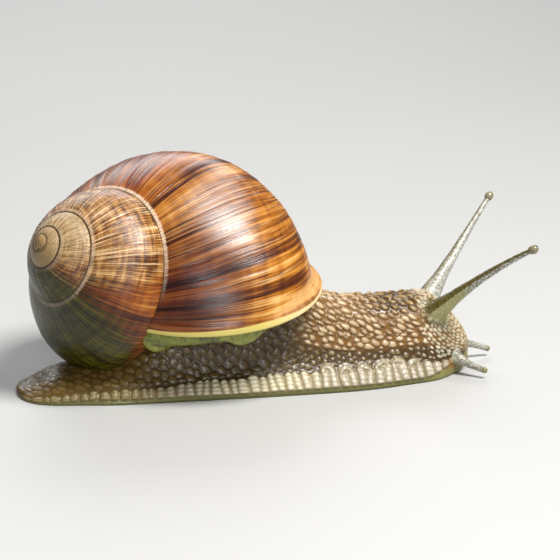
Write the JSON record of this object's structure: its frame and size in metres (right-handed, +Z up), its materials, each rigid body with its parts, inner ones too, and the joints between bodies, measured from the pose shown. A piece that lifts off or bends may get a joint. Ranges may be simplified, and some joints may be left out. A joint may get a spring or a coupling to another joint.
{
  "type": "land snail figure",
  "caption": "Life-size still figure of a land snail crawling, a coiled brown shell on its back and all four tentacles stretched out.",
  "frame": {"origin": "on the floor, at the middle of the flat sole", "axes": "+X from the tail to the head, +Y to the animal's left, +Z up from the floor"},
  "size_m": [0.0775, 0.0359, 0.0337],
  "materials": {
    "shell": "glossy horn-like shell, chestnut and orange with fine cream and dark growth streaks",
    "skin": "moist grey-brown skin with raised cream tubercles",
    "mantle": "smooth moist olive flesh under the lip of the shell",
    "tentacle_skin": "moist olive-grey skin, finely granular",
    "eye_bulb": "smooth moist bulb with the small dark eye inside its end"
  },
  "bodies": {
    "root": {"shell": "shell", "mantle_collar": "mantle", "tail": "skin", "foot": "skin", "neck": "skin", "head": "skin", "upper_tentacle_right_root": "tentacle_skin", "upper_tentacle_right_middle": "tentacle_skin", "upper_tentacle_right_end": "tentacle_skin", "eye_bulb_right": "eye_bulb", "lower_tentacle_right": "tentacle_skin", "lower_tip_right": "tentacle_skin", "upper_tentacle_left_root": "tentacle_skin", "upper_tentacle_left_middle": "tentacle_skin", "upper_tentacle_left_end": "tentacle_skin", "eye_bulb_left": "eye_bulb", "lower_tentacle_left": "tentacle_skin", "lower_tip_left": "tentacle_skin"}
  },
  "joints": []
}
